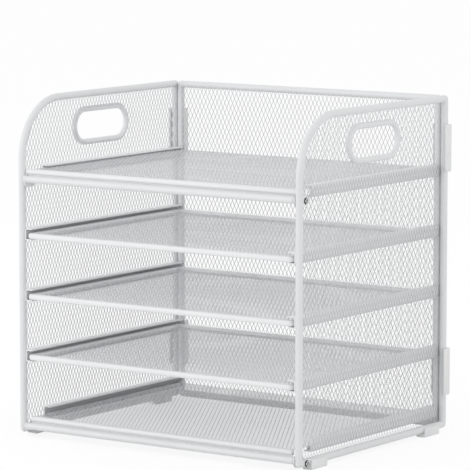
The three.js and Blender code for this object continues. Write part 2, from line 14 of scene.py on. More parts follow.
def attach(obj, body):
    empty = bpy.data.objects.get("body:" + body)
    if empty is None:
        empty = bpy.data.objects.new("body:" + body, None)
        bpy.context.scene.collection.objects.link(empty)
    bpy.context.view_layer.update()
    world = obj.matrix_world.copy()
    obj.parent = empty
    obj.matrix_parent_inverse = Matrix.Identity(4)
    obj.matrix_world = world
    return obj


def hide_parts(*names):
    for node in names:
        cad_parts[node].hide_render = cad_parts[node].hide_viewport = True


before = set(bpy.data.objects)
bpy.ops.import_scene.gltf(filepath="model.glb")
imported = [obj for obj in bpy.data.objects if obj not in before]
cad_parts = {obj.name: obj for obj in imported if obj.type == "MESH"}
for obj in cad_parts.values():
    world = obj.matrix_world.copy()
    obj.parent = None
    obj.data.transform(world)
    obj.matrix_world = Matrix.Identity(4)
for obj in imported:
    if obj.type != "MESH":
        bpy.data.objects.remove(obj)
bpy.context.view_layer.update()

scene = bpy.context.scene

MM = 0.001
FRAME_SHIFT_Y = -1.25          # the rear clips reach past the posts, so the frame sits forward
WELD_GAP = 0.3                 # between the two posts at each rear corner
REST_GAP = 0.3                 # under what stands in a channel
GRIP_GAP = 0.15                # round a tube that a plastic piece grips
SAME_PLACE = 0.002             # vertices closer than this become one

# Frame tubes: the frame's outer sizes, the tubes' radius, their middle lines and inner faces
WIDTH, DEPTH, HEIGHT = 330.0, 260.0, 331.5
TUBE = 3.5
SIDE_X = WIDTH / 2 - TUBE
POST_Y = DEPTH / 2 - TUBE
TOP_Z = HEIGHT - TUBE
BOTTOM_Z = 7.2
INNER_X = SIDE_X - TUBE
INNER_Y = POST_Y - TUBE
BACK_X = INNER_X - WELD_GAP - TUBE
FRONT_BEND = 57.5              # bend radii of the tubes' middle lines
TIGHT_BEND = 1.0

# Handle ring, its middle line and its tube's radius
HANDLE_Y, HANDLE_Z = -1.0, 296.5
HANDLE_LENGTH, HANDLE_HEIGHT = 85.2, 32.6
HANDLE_TUBE = 2.9

# Expanded mesh: each diamond's width and height between the middles of its joints, its strands'
# width and thickness, and how far they turn out of the sheet about its upright slits, as
# stretching leaves them. Like slats, they look thin from one side and wide from the other
PANEL_MESH = (4.75, 9.8, 0.5, 0.2, 0.26)
FLOOR_MESH = (4.5, 7.7, 0.7, 0.22, 0.0)      # the floors' sheet is rolled flat again
PANEL_BORDER = 1.6             # the panels' mesh stops this far inside the tubes' middle lines
TRAY_BORDER = 1.2              # and the trays' floors this far inside their rims'
HANDLE_BORDER = 0.6            # the mesh starts this far outside the handle ring's middle line
SIDE_MESH_X = INNER_X + 0.4
BACK_MESH_Y = INNER_Y + 0.8

# Channel guides, and the trays that slide in the middle three pairs
TIERS = ("lower", "middle", "upper")
GUIDE_Z = {"bottom": 20.0, "lower": 79.5, "middle": 139.0, "upper": 198.5, "top": 258.0}
GUIDE_HEIGHT, GUIDE_WIDTH, GUIDE_SHEET = 11.6, 8.0, 1.2
GUIDE_FRONT, SHELF_GUIDE_FRONT, GUIDE_REAR = -127.5, -100.0, 122.7
GUIDE_OUTER_X = 157.9
# Round the section from its lower mouth: 0.15 at cut edges, 1.5 outside the bends, 0.5 inside
GUIDE_ROUNDS = (0.15, 1.5, 1.5, 0.15, 0.15, 0.5, 0.5, 0.15)
SHADE_FREE_MARGIN = 1.0                # the painted shade in a channel's inside starts this far from its mouth and its ends
RIM = 2.9                      # half the height of a tray's rim
RIM_SQUARENESS = 0.5           # the round rim is rolled halfway towards a square one
TRAY_X = 152.6
TRAY_FRONT, TRAY_REAR = -126.1, 116.1
TRAY_CORNER = 3.1
RIM_RISE = -GUIDE_HEIGHT / 2 + GUIDE_SHEET + REST_GAP + RIM

# Fixed shelves: cross tubes with their end plates, rolled lips and mesh pans
TOP_TUBE_Z, BOTTOM_TUBE_Z = 252.2, 10.0
SHELF_X = 157.7                # outer faces of the end plates
TUBE_END = 0.9                 # the cross tube's ends come through the plates this far
FILLET_RISE, FILLET_LENGTH = 0.5, 0.8
PLATE_SHEET = 1.2
PLATE_FRONT = -129.5
PLATE_FRONT_CORNER = 6.0
SHEET_CORNER = 0.5
TOP_PLATE = (20.0, 11.5, 8.0)             # length, height, and radius of the lower rear corner
BOTTOM_PLATE = (16.0, 10.5, 5.0)
LIP_FRONT = -126.3
LIP_SIZE = 5.0
LIP_ROUNDS = (2.2, 1, 1, 2.2)
LIP_GROOVE = 1.2               # between the lip and the cross tube
WEB_SHEET = 1.0                # the lip's web is this thick, and runs as far up into the lip
WEB_BACK = 2.1                 # from the lip's front to the web's
WEB_WELD = 0.8                 # how far the web sinks into the cross tube
SHELF_SHEET = 0.6
PAN_FRONT, PAN_REAR = -121.0, 122.7
PAN_TUCK = 1.0                 # the pan's mesh runs this far into the lip
TOP_PAN_HALF, BOTTOM_PAN_HALF = 156.3, 153.0
SKIRT_ROUND, SKIRT_EDGE = 0.2, 0.15       # of the pan's turned-down sides

# Screws: their (Y, Z), then (X, radius) from the tip and (rise, radius) over the pan head. Two
# tapered boxes (deep, long, wide) centred on the head's top cut the cross recess
UPPER_SCREW = (-115.0, 250.7)
LOWER_SCREW = (-118.5, 7.2)
TAB_X, TAB_RADIUS, TAB_CORNER = 161.0, 5.0, 4.9
SCREW_HOLE = 2.1               # radius
HEAD_GAP = 0.1                 # between the head and what it clamps
SHANK = ((148.0, 0.0), (149.0, 1.2), (149.6, 1.7))
HEAD = ((0.0, 1.7), (0.0, 3.1), (0.2, 3.25), (0.6, 3.05), (0.95, 2.5), (1.15, 1.6), (1.25, 0.0))
HEAD_RISE = HEAD[-1][0]
RECESS = (1.1, 4.4, 1.0)
RECESS_TAPER = (0.55, 0.6)     # share of the length and width that is left at the recess's floor
BARE_HIGHLIGHT_RADIUS, BARE_HIGHLIGHT_MARGIN = 2.3, 0.2       # where the driver has worn the recess to bright steel, which also stands in for its highlights: painted highlight

# Feet, clipped up onto the side frames' bottom tubes
FOOT_Y, FOOT_LENGTH, FOOT_TOP = 99.5, 26.0, 9.4
FOOT_HALF = 5.2
FOOT_BASE_ROUND, FOOT_TOP_ROUND, FOOT_BORE_ROUND, FOOT_EDGE = 1.5, 0.6, 0.3, 0.45
FOOT_ARC = 14                  # steps of the half round that grips the tube

# Clips that hold the back frame's posts to the side frames' rear posts
CLIP_Z = {"upper": 280.0, "lower": 60.0}
CLIP_LENGTH = 46.0
CLIP_WALL, CLIP_BACK_WALL = 1.35, 2.35
CLIP_OUTER_REACH, CLIP_INNER_REACH = 9, 5
CLIP_ROUNDS = (0.3, 0.5, 1.2, 1.2, 0.5, 0.3, 0.4, 0.4)
CLIP_EDGE = 0.4

# Pattern sizes of the finishes
COAT_CLOUD = 38                # slow unevenness of the powder
CORNER_SHADE_REACH = 2.5              # how near another face darkens the coat: painted shade in corners
PLASTIC_GRAIN, PLASTIC_FLOW = 0.7, 14
PLATING_GRAIN, PLATING_STAIN = 0.5, 3

# A Mix node's sockets for colours: the first, the second and the result
MIX_A, MIX_B, MIXED = 6, 7, 2


# Materials
def linear(hex_colour):
    """An sRGB hex colour as linear RGBA."""
    channels = [int(hex_colour[i:i + 2], 16) / 255 for i in (1, 3, 5)]
    return tuple(c / 12.92 if c <= 0.04045 else ((c + 0.055) / 1.055) ** 2.4
                 for c in channels) + (1.0,)


def add_node(tree, kind, inputs=None, **settings):
    """Adds a node; an input given as a socket is linked, and any other value is set."""
    node = tree.nodes.new(kind)
    for name, value in settings.items():
        setattr(node, name, value)
    for name, value in (inputs or {}).items():
        if isinstance(value, bpy.types.NodeSocket):
            tree.links.new(value, node.inputs[name])
        else:
            node.inputs[name].default_value = value
    return node


def new_material(name):
    """An empty material and its node tree."""
    material = bpy.data.materials.new(name)
    material.use_nodes = True
    material.node_tree.nodes.clear()
    return material, material.node_tree


def per_metre(size_mm):
    """Noise scale whose features are about size_mm across."""
    return 1000.0 / size_mm


def powder_coat(name, colour, shade, roughness, peel_mm, peel_depth, channel_shade=None):
    """Polyester powder coat on steel: satin white, a faint orange peel and a slow random
    unevenness.
    Painted shade: the colour turns a little greyer where another face lies close, in corners and
    crevices. The inside of a narrow channel, which a face attribute marks, takes the darker
    colour
    given for it: painted shade as well."""
    material, tree = new_material(name)
    place = add_node(tree, "ShaderNodeTexCoord").outputs["Object"]
    cloud = add_node(tree, "ShaderNodeTexNoise", {
        "Vector": place, "Scale": per_metre(COAT_CLOUD), "Detail": 3.0, "Roughness": 0.55})
    # Painted shade: the colour turns towards shade where another face lies close, in corners and
    # crevices
    corner = add_node(tree, "ShaderNodeAmbientOcclusion", {"Distance": CORNER_SHADE_REACH * MM},
                      samples=8)
    painted_corner_shade = add_node(tree, "ShaderNodeMapRange", {
        "Value": corner.outputs["AO"], "From Min": 0.25, "From Max": 0.85,
        "To Min": 0.4, "To Max": 0.0})
    cloud_share = add_node(tree, "ShaderNodeMath", {
        0: cloud.outputs["Fac"], 1: 0.35}, operation="MULTIPLY")
    share = add_node(tree, "ShaderNodeMath", {
        0: cloud_share.outputs[0], 1: painted_corner_shade.outputs["Result"]},
        operation="ADD", use_clamp=True)
    base = add_node(tree, "ShaderNodeMix", {
        "Factor": share.outputs[0], MIX_A: linear(colour), MIX_B: linear(shade)},
        data_type="RGBA")
    # Painted shade inside the narrow channels: their marked faces take a darker colour
    if channel_shade:
        painted_channel_shade_mask = add_node(tree, "ShaderNodeAttribute", attribute_name="painted_channel_shade")
        base = add_node(tree, "ShaderNodeMix", {
            "Factor": painted_channel_shade_mask.outputs["Fac"], MIX_A: base.outputs[MIXED], MIX_B: linear(channel_shade)},
            data_type="RGBA")
    peel = add_node(tree, "ShaderNodeTexNoise", {
        "Vector": place, "Scale": per_metre(peel_mm), "Detail": 2.0, "Roughness": 0.4})
    gloss = add_node(tree, "ShaderNodeMapRange", {
        "Value": cloud.outputs["Fac"], "From Min": 0.3, "From Max": 0.7,
        "To Min": roughness - 0.05, "To Max": roughness + 0.07})
    bump = add_node(tree, "ShaderNodeBump", {
        "Height": peel.outputs["Fac"], "Strength": 0.35, "Distance": peel_depth * MM})
    shader = add_node(tree, "ShaderNodeBsdfPrincipled", {
        "Base Color": base.outputs[MIXED], "Roughness": gloss.outputs["Result"],
        "IOR": 1.5, "Normal": bump.outputs["Normal"]})
    add_node(tree, "ShaderNodeOutputMaterial", {"Surface": shader.outputs[0]})
    return material


def moulded_plastic(name, colour, shade):
    """Injection-moulded polypropylene: soft white, spark-eroded grain, a little light inside."""
    material, tree = new_material(name)
    place = add_node(tree, "ShaderNodeTexCoord").outputs["Object"]
    grain = add_node(tree, "ShaderNodeTexNoise", {
        "Vector": place, "Scale": per_metre(PLASTIC_GRAIN), "Detail": 3.0, "Roughness": 0.6})
    flow = add_node(tree, "ShaderNodeTexNoise", {
        "Vector": place, "Scale": per_metre(PLASTIC_FLOW), "Detail": 2.0})
    base = add_node(tree, "ShaderNodeMix", {
        "Factor": flow.outputs["Fac"], MIX_A: linear(colour), MIX_B: linear(shade)},
        data_type="RGBA")
    gloss = add_node(tree, "ShaderNodeMapRange", {
        "Value": grain.outputs["Fac"], "To Min": 0.46, "To Max": 0.62})
    bump = add_node(tree, "ShaderNodeBump", {
        "Height": grain.outputs["Fac"], "Strength": 0.3, "Distance": 0.04 * MM})
    shader = add_node(tree, "ShaderNodeBsdfPrincipled", {
        "Base Color": base.outputs[MIXED], "Roughness": gloss.outputs["Result"], "IOR": 1.49,
        "Subsurface Weight": 0.08, "Subsurface Scale": 0.8 * MM,
        "Normal": bump.outputs["Normal"]})
    add_node(tree, "ShaderNodeOutputMaterial", {"Surface": shader.outputs[0]})
    return material


def plated_steel(name, colour, shade, bare_and_highlight):
    """Black-zinc plated steel: dark and glossy, with a fine plated grain. Where the driver bears,
    which a face attribute marks, the plating is worn to bright steel, which also stands in for
    the recess's highlights: painted highlight."""
    material, tree = new_material(name)
    place = add_node(tree, "ShaderNodeTexCoord").outputs["Object"]
    grain = add_node(tree, "ShaderNodeTexNoise", {
        "Vector": place, "Scale": per_metre(PLATING_GRAIN), "Detail": 4.0, "Roughness": 0.65})
    stain = add_node(tree, "ShaderNodeTexNoise", {
        "Vector": place, "Scale": per_metre(PLATING_STAIN), "Detail": 2.0})
    plating = add_node(tree, "ShaderNodeMix", {
        "Factor": stain.outputs["Fac"], MIX_A: linear(colour), MIX_B: linear(shade)},
        data_type="RGBA")
    # Bright steel in the recess: wear, and painted highlight
    worn_and_highlight = add_node(tree, "ShaderNodeAttribute", attribute_name="bare_and_highlight")
    base = add_node(tree, "ShaderNodeMix", {
        "Factor": worn_and_highlight.outputs["Fac"], MIX_A: plating.outputs[MIXED], MIX_B: linear(bare_and_highlight)},
        data_type="RGBA")
    gloss = add_node(tree, "ShaderNodeMapRange", {
        "Value": grain.outputs["Fac"], "To Min": 0.16, "To Max": 0.34})
    bump = add_node(tree, "ShaderNodeBump", {
        "Height": grain.outputs["Fac"], "Strength": 0.25, "Distance": 0.03 * MM})
    shader = add_node(tree, "ShaderNodeBsdfPrincipled", {
        "Base Color": base.outputs[MIXED], "Metallic": 1.0,
        "Roughness": gloss.outputs["Result"], "Normal": bump.outputs["Normal"]})
    add_node(tree, "ShaderNodeOutputMaterial", {"Surface": shader.outputs[0]})
    return material


# Each finish: its material, the record's slot for it, and the angle in degrees past which an edge
# stays crisp. The real orange peel is about 1 mm across; it is drawn at 2.2 mm on the tubes and
# sheets so that it shows
tube_finish = (powder_coat("white_powder_coated_tube", "#ECEDEE", "#DADBDD",
                           roughness=0.36, peel_mm=2.2, peel_depth=0.05), "frame_tube", 35)
# The sheet's colour is a little lighter than the tubes', though it is the same powder: painted
# light on the channel walls that the mesh shades, and on the lips and rims
sheet_finish = (powder_coat("white_powder_coated_sheet_painted_lighter", "#F2F3F4", "#E9EAEB",
                            roughness=0.40, peel_mm=2.2, peel_depth=0.05, channel_shade="#CCCDCF"),
                "formed_sheet", 35)
# The mesh's colour is darker than the tubes', though it is the same powder: painted shade on the
# strands
mesh_finish = (powder_coat("white_powder_coated_mesh_painted_darker", "#DDDEE0", "#CBCDD0",
                           roughness=0.44, peel_mm=1.1, peel_depth=0.06), "mesh_sheet", 60)
clip_finish = (moulded_plastic("white_moulded_polypropylene", "#F4F5F5", "#EBECEC"),
               "white_plastic", 35)
screw_finish = (plated_steel("black_zinc_plated_steel", "#2A2B2E", "#1D1E21", bare_and_highlight="#F0F1F2"),
                "screw_steel", 35)


# Shaping: flat shapes are drawn in a local XY plane and turned into a side's or the back's plane
SIDE_PLANE = Matrix(((0, 0, 1, 0), (1, 0, 0, 0), (0, 1, 0, 0), (0, 0, 0, 1)))
BACK_PLANE = Matrix(((1, 0, 0, 0), (0, 0, -1, 0), (0, 1, 0, 0), (0, 0, 0, 1)))
SIDES = (("right", Matrix.Identity(4)), ("left", Matrix.Scale(-1, 4, Vector((1, 0, 0)))))


def finished(bm, name, finish, node=None, body="frame"):
    """Turns a bmesh in millimetres into a piece that rides on a body and stands for a node."""
    material, slot, crisp_angle = finish
    bmesh.ops.remove_doubles(bm, verts=bm.verts, dist=SAME_PLACE)
    bmesh.ops.recalc_face_normals(bm, faces=bm.faces)
    bmesh.ops.translate(bm, verts=bm.verts, vec=(0, FRAME_SHIFT_Y, 0))
    bmesh.ops.scale(bm, verts=bm.verts, vec=(MM, MM, MM))
    mesh = bpy.data.meshes.new(name)
    bm.to_mesh(mesh)
    bm.free()
    mesh.shade_smooth()
    mesh.set_sharp_from_angle(angle=math.radians(crisp_angle))
    mesh.materials.append(material)
    piece = bpy.data.objects.new(name, mesh)
    scene.collection.objects.link(piece)
    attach(piece, body)
    if node:
        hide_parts(node)


def moved(bm, matrix):
    """The bmesh itself, transformed."""
    bmesh.ops.transform(bm, matrix=matrix, verts=bm.verts)
    return bm


def on_side(bm, flip, x):
    """Stands a flat shape upright in the plane at x of the right side, or of the left one."""
    return moved(bm, flip @ Matrix.Translation((x, 0, 0)) @ SIDE_PLANE)


def joined(parts):
    """Several bmeshes as one."""
    whole = bmesh.new()
    for part in parts:
        carrier = bpy.data.meshes.new("carrier")
        part.to_mesh(carrier)
        part.free()
        whole.from_mesh(carrier)
        bpy.data.meshes.remove(carrier)
    return whole


def carved(bm, cutters):
    """Cuts one bmesh with others."""
    def carrier(shape):
        data = bpy.data.meshes.new("carrier")
        shape.to_mesh(data)
        shape.free()
        block = bpy.data.objects.new("carrier", data)
        scene.collection.objects.link(block)
        return block

    work = carrier(bm)
    tools = [carrier(cutter) for cutter in cutters]
    for tool in tools:
        cut = work.modifiers.new("cut", "BOOLEAN")
        cut.operation = "DIFFERENCE"
        cut.object = tool
    result = bmesh.new()
    result.from_object(work, bpy.context.evaluated_depsgraph_get())
    for item in [work] + tools:
        data = item.data
        bpy.data.objects.remove(item)
        bpy.data.meshes.remove(data)
    return result


def drilled(bm, hole, thickness):
    """Cuts the screw's hole, given as local (x, y), through a flat piece."""
    drill = bmesh.new()
    bmesh.ops.create_cone(drill, cap_ends=True, segments=20, radius1=SCREW_HOLE,
                          radius2=SCREW_HOLE, depth=thickness * 4)
    return carved(bm, [moved(drill, Matrix.Translation((*hole, thickness / 2)))])


def of_type(geometry, kind):
    """The items of one kind in what a bmesh operator returns."""
    return [item for item in geometry if isinstance(item, kind)]


def bent_loop(corners, radius, sides, squareness=0.0):
    """A tube bent into a closed loop in the local XY plane, as a pipe bender does it.
    corners holds (x, y, bend radius), counter-clockwise, with a right angle at each.
    squareness, from 0 to 1, rolls the round section towards a square one."""
    shortest_run, steps_per_mm, fewest_steps = 0.01, 0.42, 4
    bm = bmesh.new()
    points = [Vector((x, y, 0)) for x, y, _ in corners]
    bends = [bend for _, _, bend in corners]
    count = len(corners)
    heading = (points[1] - points[0]).normalized()
    turn = Vector((0, 0, 1)).rotation_difference(heading).to_matrix().to_4x4()
    bmesh.ops.create_circle(bm, segments=sides, radius=radius, cap_ends=False)
    for vert in bm.verts:
        square = radius / max(abs(vert.co.x), abs(vert.co.y))
        vert.co *= 1 + squareness * (square - 1)
    moved(bm, Matrix.Translation(points[0] + heading * bends[0]) @ turn)
    ring = list(bm.edges)
    for i in range(1, count + 1):
        here, before, after = (points[k % count] for k in (i, i - 1, i + 1))
        bend = bends[i % count]
        heading = (here - before).normalized()
        run = (here - before).length - bends[(i - 1) % count] - bend
        if run > shortest_run:
            grown = bmesh.ops.extrude_edge_only(bm, edges=ring)["geom"]
            ends = of_type(grown, bmesh.types.BMVert)
            bmesh.ops.translate(bm, verts=ends, vec=heading * run)
            ends = set(ends)
            ring = [e for e in of_type(grown, bmesh.types.BMEdge)
                    if e.verts[0] in ends and e.verts[1] in ends]
        centre = here - heading * bend + (after - here).normalized() * bend
        verts = list(dict.fromkeys(v for e in ring for v in e.verts))
        spun = bmesh.ops.spin(
            bm, geom=verts + ring, cent=centre, axis=(0, 0, 1), angle=math.pi / 2,
            steps=max(fewest_steps, round(bend * steps_per_mm)),
            use_merge=False, use_duplicate=False)
        ring = of_type(spun["geom_last"], bmesh.types.BMEdge)
    return bm


def rectangle_loop(left, bottom, right, top, bends, radius, sides=24, squareness=0.0):
    """A bent loop round a rectangle; bends starts at its lower left corner."""
    spots = ((left, bottom), (right, bottom), (right, top), (left, top))
    corners = [(x, y, bend) for (x, y), bend in zip(spots, bends)]
    return bent_loop(corners, radius, sides, squareness)


def straight_tube(radius, from_x, to_x, y, z):
    """A closed tube along X."""
    bm = bmesh.new()
    bmesh.ops.create_cone(bm, cap_ends=True, segments=32, radius1=radius, radius2=radius,
                          depth=to_x - from_x)
    place = Matrix.Translation(((from_x + to_x) / 2, y, z))
    return moved(bm, place @ Matrix.Rotation(math.pi / 2, 4, "Y"))


def weld_fillet(x, y, z, out):
    """The small ring of weld where a cross tube meets its end plate; out is 1 or -1."""
    bm = bmesh.new()
    bmesh.ops.create_cone(bm, cap_ends=False, segments=32, radius1=TUBE + FILLET_RISE,
                          radius2=TUBE, depth=FILLET_LENGTH)
    place = Matrix.Translation((x - out * FILLET_LENGTH / 2, y, z))
    return moved(bm, place @ Matrix.Rotation(-out * math.pi / 2, 4, "Y"))


def profile_bar(outline, rounds, length, edge=0.2):
    """A bar of one section, extruded from the local XY plane along Z.
    rounds gives each outline corner's radius; edge softens the two ends."""
    bm = bmesh.new()
    verts = [bm.verts.new((x, y, 0)) for x, y in outline]
    bm.faces.new(verts)
    for vert, radius in zip(verts, rounds):
        if radius:
            bmesh.ops.bevel(bm, geom=[vert], offset=radius, offset_type="OFFSET", segments=5,
                            profile=0.5, affect="VERTICES", material=-1)
    grown = bmesh.ops.extrude_face_region(bm, geom=bm.faces[:])["geom"]
    bmesh.ops.translate(bm, verts=of_type(grown, bmesh.types.BMVert), vec=(0, 0, length))
    if edge:
        rims = [e for e in bm.edges
                if abs(e.verts[0].co.z - e.verts[1].co.z) < SAME_PLACE]
        bmesh.ops.bevel(bm, geom=rims, offset=edge, offset_type="OFFSET", segments=2,
                        profile=0.5, affect="EDGES", material=-1, clamp_overlap=True)
    return bm


def plate(left, bottom, right, top, rounds, thickness, edge=0.2):
    """A flat rectangle of sheet; rounds starts at its lower left corner."""
    outline = ((left, bottom), (right, bottom), (right, top), (left, top))
    return profile_bar(outline, rounds, thickness, edge)


def slot_distance(point, slot):
    """How far a point lies outside a round-ended slot."""
    middle_x, middle_y, reach, radius = slot
    core = Vector((min(max(point.x, middle_x - reach), middle_x + reach), middle_y, 0))
    return (Vector((point.x, point.y, 0)) - core).length - radius


def cut_slot(bm, slot):
    """Cuts a flat lattice along the edge of a round-ended slot and clears what lies inside."""
    nearby, on_edge = PANEL_MESH[1], 0.05
    for edge in [e for e in bm.edges if slot_distance(e.verts[0].co, slot) < nearby]:
        first, second = (slot_distance(v.co, slot) for v in edge.verts)
        if first * second < 0:
            bmesh.utils.edge_split(edge, edge.verts[0], first / (first - second))
    for face in bm.faces[:]:
        cut = [v for v in face.verts if abs(slot_distance(v.co, slot)) < on_edge]
        if len(cut) == 2 and not bm.edges.get(cut):
            bmesh.utils.face_split(face, *cut)
    bmesh.ops.delete(bm, context="FACES", geom=[
        f for f in bm.faces if slot_distance(f.calc_center_median(), slot) < 0])


def expanded_sheet(left, bottom, right, top, pattern, round_corner=0.0, slot=None):
    """Expanded steel mesh in the local XY plane: slit and stretched sheet whose strands meet in
    short joints. pattern is PANEL_MESH or FLOOR_MESH, round_corner cuts the sheet's upper left
    corner, and slot is an opening: its middle's x and y, half its straight run, and its radius.
    The diamonds are fitted to the sheet, so that a whole number of them spans it each way."""
    spare_cells, corner_cuts = 4, 12
    bm = bmesh.new()
    diamond_width, diamond_height, strand, thickness, lean = pattern
    width, height = right - left, top - bottom
    columns, rows = round(width / diamond_width), round(height / diamond_height)
    pitch_x, pitch_y = width / columns, height / rows
    middle = Vector(((left + right) / 2, (bottom + top) / 2, 0))
    # A square grid turned by 45 degrees, with an even count so that a joint is at its middle
    count = columns + rows + spare_cells
    count += count % 2
    bmesh.ops.create_grid(bm, x_segments=count, y_segments=count, size=count / 2)
    diagonal = math.sqrt(2)
    moved(bm, Matrix.Translation(middle)
          @ Matrix.Diagonal((pitch_x / diagonal, pitch_y / diagonal, 1, 1))
          @ Matrix.Rotation(math.pi / 4, 4, "Z"))
    bmesh.ops.delete(bm, context="FACES", geom=[
        f for f in bm.faces
        if abs(f.calc_center_median().x - middle.x) > width / 2 + pitch_x
        or abs(f.calc_center_median().y - middle.y) > height / 2 + pitch_y])
    openings = bm.faces[:]
    bmesh.ops.inset_individual(bm, faces=openings, thickness=strand / 2, depth=0,
                               use_even_offset=True)
    for face in openings:
        centre = face.calc_center_median()
        for vert in face.verts:
            vert.co.z += lean * (vert.co.x - centre.x) / (pitch_x / 2)
    bmesh.ops.delete(bm, geom=openings, context="FACES_ONLY")
    cuts = [((left, 0, 0), (-1, 0, 0)), ((right, 0, 0), (1, 0, 0)),
            ((0, bottom, 0), (0, -1, 0)), ((0, top, 0), (0, 1, 0))]
    if round_corner:
        centre = Vector((left + round_corner, top - round_corner, 0))
        for k in range(corner_cuts):
            angle = math.pi / 2 * (1 + (k + 0.5) / corner_cuts)
            out = Vector((math.cos(angle), math.sin(angle), 0))
            cuts.append((centre + out * round_corner, out))
    for place, out in cuts:
        bmesh.ops.bisect_plane(bm, geom=bm.verts[:] + bm.edges[:] + bm.faces[:], dist=0.01,
                               plane_co=place, plane_no=out, clear_outer=True)
    if slot:
        cut_slot(bm, slot)
    bmesh.ops.solidify(bm, geom=bm.faces[:], thickness=thickness)
    return bm


# Side panels and back panel
def side_panel(side, flip):
    """A side's tube loop, handle ring and mesh, and the tab for the upper screw."""
    loop = rectangle_loop(-POST_Y, BOTTOM_Z, POST_Y, TOP_Z,
                          (TIGHT_BEND, TIGHT_BEND, TIGHT_BEND, FRONT_BEND), TUBE)
    finished(on_side(loop, flip, SIDE_X), f"{side}_side_tube", tube_finish,
             f"{side}_side_frame")

    half_length, half_height = HANDLE_LENGTH / 2, HANDLE_HEIGHT / 2
    ring = rectangle_loop(HANDLE_Y - half_length, HANDLE_Z - half_height,
                          HANDLE_Y + half_length, HANDLE_Z + half_height,
                          (half_height,) * 4, HANDLE_TUBE)
    finished(on_side(ring, flip, SIDE_X), f"{side}_handle_tube", tube_finish,
             f"{side}_handle_ring")

    net = expanded_sheet(
        -POST_Y + PANEL_BORDER, BOTTOM_Z + PANEL_BORDER,
        POST_Y - PANEL_BORDER, TOP_Z - PANEL_BORDER,
        PANEL_MESH, round_corner=FRONT_BEND - PANEL_BORDER,
        slot=(HANDLE_Y, HANDLE_Z, half_length - half_height, half_height + HANDLE_BORDER))
    finished(on_side(net, flip, SIDE_MESH_X), f"{side}_side_net", mesh_finish,
             f"{side}_side_mesh")

    tab = plate(-POST_Y, UPPER_SCREW[1] - TAB_RADIUS, UPPER_SCREW[0] + TAB_RADIUS,
                UPPER_SCREW[1] + TAB_RADIUS, (0, TAB_CORNER, TAB_CORNER, 0), PLATE_SHEET)
    tab = drilled(tab, UPPER_SCREW, PLATE_SHEET)
    finished(on_side(tab, flip, TAB_X - PLATE_SHEET), f"{side}_tab_plate", sheet_finish,
             f"{side}_screw_tab")


def back_panel():
    """The back's tube loop and mesh."""
    loop = rectangle_loop(-BACK_X, BOTTOM_Z, BACK_X, TOP_Z, (TIGHT_BEND,) * 4, TUBE)
    moved(loop, Matrix.Translation((0, POST_Y, 0)) @ BACK_PLANE)
    finished(loop, "back_tube", tube_finish, "back_frame")
    net = expanded_sheet(-BACK_X + PANEL_BORDER, BOTTOM_Z + PANEL_BORDER,
                         BACK_X - PANEL_BORDER, TOP_Z - PANEL_BORDER, PANEL_MESH)
    moved(net, Matrix.Translation((0, BACK_MESH_Y, 0)) @ BACK_PLANE)
    finished(net, "back_net", mesh_finish, "back_mesh")


for side, flip in SIDES:
    side_panel(side, flip)
back_panel()


# Guides and trays
def channel_guide(level, front):
    """The pair of channels at one level, open inward."""
    slack = 0.1                # the inner walls' faces count as inside
    low, high = GUIDE_Z[level] - GUIDE_HEIGHT / 2, GUIDE_Z[level] + GUIDE_HEIGHT / 2
    mouth, wall, sheet = GUIDE_OUTER_X - GUIDE_WIDTH, GUIDE_OUTER_X, GUIDE_SHEET
    section = ((mouth, low), (wall, low), (wall, high), (mouth, high),
               (mouth, high - sheet), (wall - sheet, high - sheet),
               (wall - sheet, low + sheet), (mouth, low + sheet))
    length = GUIDE_REAR - front
    for side, flip in SIDES:
        guide = profile_bar(section, GUIDE_ROUNDS, length)
        # Faces inside the channel are marked for painted shade
        painted_channel_shade = guide.faces.layers.float.new("painted_channel_shade")
        for face in guide.faces:
            middle = face.calc_center_median()
            inside = (mouth + SHADE_FREE_MARGIN < middle.x < wall - sheet + slack
                      and SHADE_FREE_MARGIN < middle.z < length - SHADE_FREE_MARGIN
                      and low + sheet - slack < middle.y < high - sheet + slack)
            face[painted_channel_shade] = 1.0 if inside else 0.0
        moved(guide, flip @ Matrix.Translation((0, GUIDE_REAR, 0)) @ BACK_PLANE)
        finished(guide, f"{side}_{level}_channel", sheet_finish, f"{side}_guide_{level}")


def tray(tier):
    """A sliding tray: its rolled rim and mesh floor, which move as one."""
    rim_z = GUIDE_Z[tier] + RIM_RISE
    rim = rectangle_loop(-TRAY_X, TRAY_FRONT, TRAY_X, TRAY_REAR, (TRAY_CORNER,) * 4, RIM,
                         sides=20, squareness=RIM_SQUARENESS)
    moved(rim, Matrix.Translation((0, 0, rim_z)))
    finished(rim, f"{tier}_tray_rolled_rim", sheet_finish, f"tray_{tier}_rim", f"tray_{tier}")
    floor = expanded_sheet(-TRAY_X + TRAY_BORDER, TRAY_FRONT + TRAY_BORDER,
                           TRAY_X - TRAY_BORDER, TRAY_REAR - TRAY_BORDER, FLOOR_MESH)
    moved(floor, Matrix.Translation((0, 0, rim_z)))
    finished(floor, f"{tier}_tray_floor", mesh_finish, f"tray_{tier}_mesh", f"tray_{tier}")


for level in GUIDE_Z:
    channel_guide(level, GUIDE_FRONT if level in TIERS else SHELF_GUIDE_FRONT)
for tier in TIERS:
    tray(tier)


# Fixed shelves
def cross_tube(name, z, plate_size, screw):
    """The front tube of a shelf with the plates that its screws go through. The tube's ends
    come through the plates and touch the posts."""
    length, height, rear_corner = plate_size
    inner, end = SHELF_X - PLATE_SHEET, SHELF_X + TUBE_END
    tube = joined([straight_tube(TUBE, -end, end, -POST_Y, z),
                   weld_fillet(inner, -POST_Y, z, 1), weld_fillet(-inner, -POST_Y, z, -1)])
    finished(tube, f"{name}_cross_tube", tube_finish, f"{name}_front_tube")
    top = z + TUBE
    for side, flip in SIDES:
        blank = plate(PLATE_FRONT, top - height, PLATE_FRONT + length, top,
                      (PLATE_FRONT_CORNER, rear_corner, SHEET_CORNER, SHEET_CORNER), PLATE_SHEET)
        blank = drilled(blank, screw, PLATE_SHEET)
        finished(on_side(blank, flip, inner), f"{side}_{name}_plate", sheet_finish,
                 f"{side}_{name}_end_plate")


